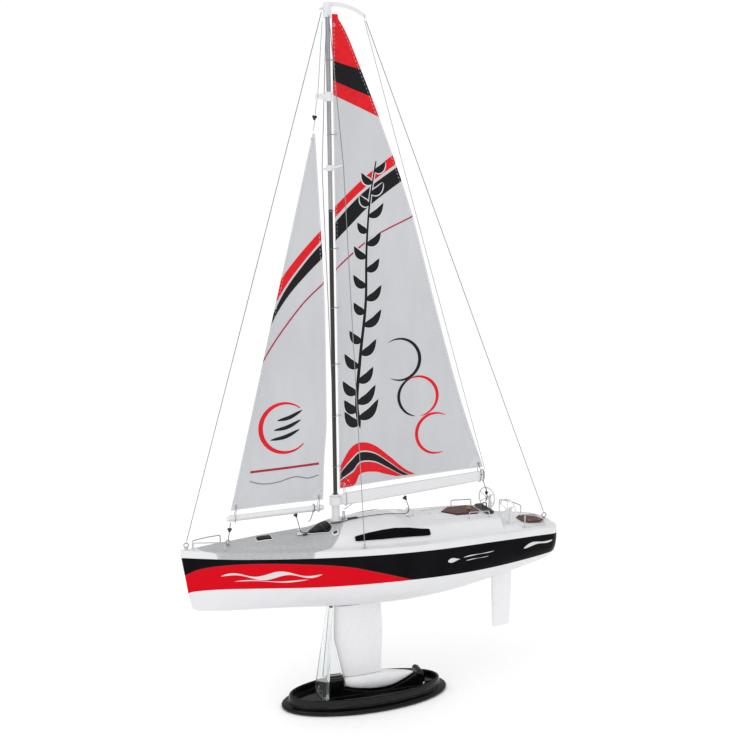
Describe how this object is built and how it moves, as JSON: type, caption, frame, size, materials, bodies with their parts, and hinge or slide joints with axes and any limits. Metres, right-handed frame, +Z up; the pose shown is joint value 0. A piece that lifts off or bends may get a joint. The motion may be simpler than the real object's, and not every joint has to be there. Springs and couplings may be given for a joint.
{
  "type": "radio controlled model sailing yacht",
  "caption": "Ready-to-sail model sloop with swinging booms, printed sails, fin keel with ballast bulb, servo-driven rudder and a display stand.",
  "frame": {"origin": "on the floor under the stand, on the boat's centreline and midway between stem and transom", "axes": "+Z up along the mast, bow towards -Y, port side towards +X"},
  "size_m": [0.0736, 0.26, 0.4592],
  "materials": {
    "hull_gloss": "gloss, red and black band over white",
    "white_gloss": "gloss",
    "black_gloss": "gloss",
    "black_matte": "matte",
    "servo_blue": "matte",
    "teak": "oiled, planked",
    "steel_wire": "bright drawn wire",
    "brass_nut": "turned",
    "mast_alu": "anodised, black below and silver above",
    "bulb_paint": "white paint over cast metal",
    "sail_film": "thin printed ripstop",
    "cord_black": "braided",
    "clear_plastic": "clear, polished"
  },
  "bodies": {
    "stand": {"stand_base": "black_gloss", "stand_pylon": "clear_plastic"},
    "boat": {"backstay": "steel_wire", "ballast_bulb": "bulb_paint", "battery_box": "black_matte", "bow_eye": "steel_wire", "bow_rail_port": "steel_wire", "bow_rail_stbd": "steel_wire", "cabin_window_port": "black_gloss", "cabin_window_stbd": "black_gloss", "chainplate_port": "steel_wire", "chainplate_stbd": "steel_wire", "cockpit_rail_port": "steel_wire", "cockpit_rail_stbd": "steel_wire", "deck_moulding": "white_gloss", "equipment_tray": "black_matte", "foredeck_hatch": "black_matte", "forestay": "steel_wire", "halyard_collar": "white_gloss", "helm_bench": "black_matte", "hull_shell": "hull_gloss", "jib_halyard": "cord_black", "keel_fin": "white_gloss", "keel_nut": "brass_nut", "kicker_pin": "steel_wire", "main_sheet": "cord_black", "mast": "mast_alu", "mast_hatch": "black_gloss", "mast_step": "white_gloss", "masthead_crane": "white_gloss", "receiver": "black_matte", "roof_grab_rail": "white_gloss", "rudder_servo": "servo_blue", "rudder_tube": "black_matte", "sail_servo": "servo_blue", "sheet_line": "cord_black", "sheet_post_aft": "white_gloss", "sheet_post_fore": "white_gloss", "shroud_port": "steel_wire", "shroud_stbd": "steel_wire", "spreaders": "white_gloss", "stern_eye": "steel_wire", "stern_rail_port": "steel_wire", "stern_rail_stbd": "steel_wire", "stern_sole": "teak", "tack_eye": "steel_wire", "tack_line": "cord_black", "topping_lift": "cord_black"},
    "main_boom": {"main_boom": "white_gloss", "mainsail": "sail_film"},
    "jib_boom": {"jib_boom": "white_gloss", "jib_sail": "sail_film"},
    "rudder": {"rudder_blade": "white_gloss", "tiller_arm": "black_matte"},
    "servo_horn": {"rudder_servo_horn": "white_gloss"},
    "pushrod": {"rudder_pushrod": "steel_wire"},
    "sail_arm": {"sail_servo_arm": "white_gloss"},
    "helm_port": {"wheel_port": "white_gloss"},
    "helm_stbd": {"wheel_stbd": "white_gloss"},
    "hatch_lid": {"cockpit_hatch_lid": "teak"}
  },
  "joints": [
    {"name": "boat_lift_off", "type": "slide", "parent": "stand", "child": "boat", "axis": [0, 0, 1], "range_m": [0, 0.08]},
    {"name": "main_boom_swing", "type": "hinge", "parent": "boat", "child": "main_boom", "pos_m": [0, -0.02743, 0.14], "axis": [0, -0.0094, 1], "range_deg": [-55, 55]},
    {"name": "jib_boom_swing", "type": "hinge", "parent": "boat", "child": "jib_boom", "pos_m": [0, -0.09827, 0.13481], "axis": [0, 0.2306, 0.9731], "range_deg": [-50, 50]},
    {"name": "rudder_turn", "type": "hinge", "parent": "boat", "child": "rudder", "pos_m": [0, 0.091, 0.08], "axis": [0, 0, 1], "range_deg": [-35, 35]},
    {"name": "servo_horn_turn", "type": "hinge", "parent": "boat", "child": "servo_horn", "pos_m": [0, 0.064, 0.104], "axis": [0, 0, 1], "range_deg": [-35, 35]},
    {"name": "pushrod_pivot", "type": "hinge", "parent": "servo_horn", "child": "pushrod", "pos_m": [0.011, 0.064, 0.104], "axis": [0, 0, 1], "range_deg": [-35, 35]},
    {"name": "sail_arm_turn", "type": "hinge", "parent": "boat", "child": "sail_arm", "pos_m": [0, 0.006, 0.1074], "axis": [0, 0, 1], "range_deg": [-55, 55]},
    {"name": "helm_port_turn", "type": "hinge", "parent": "boat", "child": "helm_port", "pos_m": [0.0174, 0.09, 0.1274], "axis": [-0.4067, 0.9135, 0], "continuous": true},
    {"name": "helm_stbd_turn", "type": "hinge", "parent": "boat", "child": "helm_stbd", "pos_m": [-0.0174, 0.09, 0.1274], "axis": [-0.4067, 0.9135, 0], "continuous": true},
    {"name": "hatch_lid_lift", "type": "slide", "parent": "boat", "child": "hatch_lid", "axis": [0, 0, 1], "range_m": [0, 0.012]}
  ],
  "couplings": [
    {"joint": "servo_horn_turn", "follows": "rudder_turn", "ratio": 1},
    {"joint": "pushrod_pivot", "follows": "rudder_turn", "ratio": -1}
  ]
}
